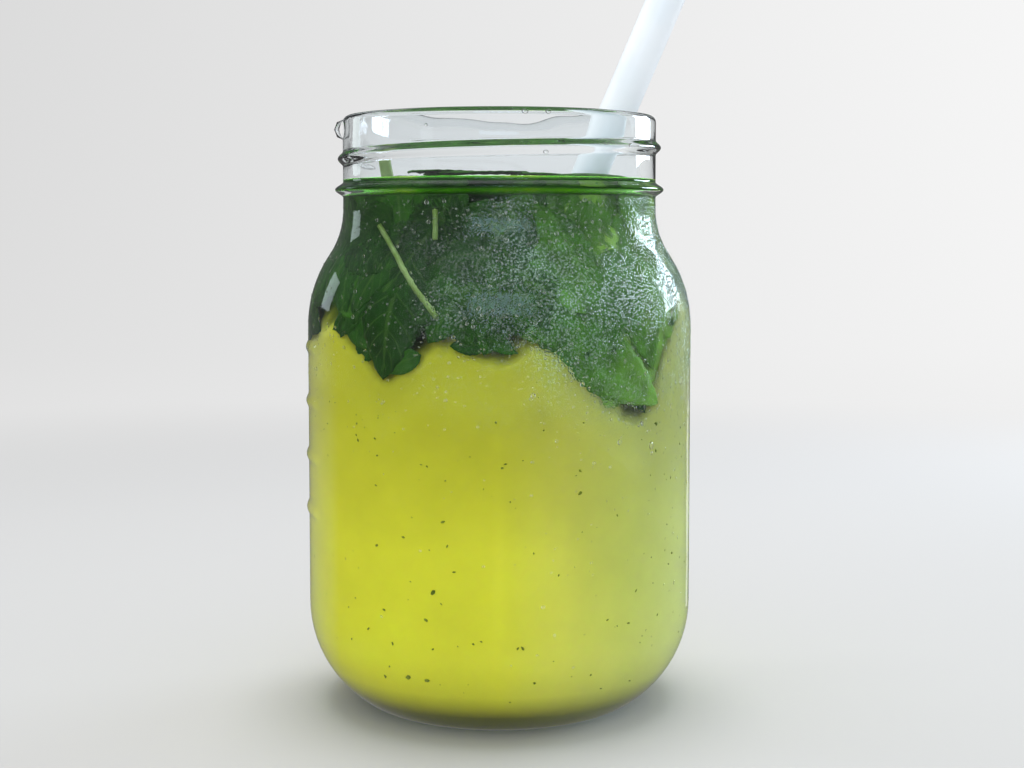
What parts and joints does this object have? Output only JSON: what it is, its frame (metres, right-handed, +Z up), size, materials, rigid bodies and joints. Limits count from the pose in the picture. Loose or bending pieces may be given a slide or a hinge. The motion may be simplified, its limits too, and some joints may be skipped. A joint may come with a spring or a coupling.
{
  "type": "mojito cocktail in a pint jar",
  "caption": "Cloudy lime-yellow mojito in a threaded clear glass preserving jar, with a bundle of mint leaves under the surface and a straw leaning on the rim.",
  "frame": {"origin": "on the jar's axis, in the plane of the table that its foot ring stands on", "axes": "+Z up along the jar's axis; +X towards the side that the straw leans to; the front looks along -Y"},
  "size_m": [0.0973, 0.082, 0.1901],
  "materials": {
    "glass": "clear moulded soda-lime glass, slightly green at its edges",
    "drink": null,
    "leaf": "stands for fresh wet mint leaf, dark green with a soft sheen",
    "straw": "smooth white plastic with a faint blue cast"
  },
  "bodies": {
    "root": {"jar": "glass", "drink": "drink", "mint": "leaf", "straw": "straw"}
  },
  "joints": []
}
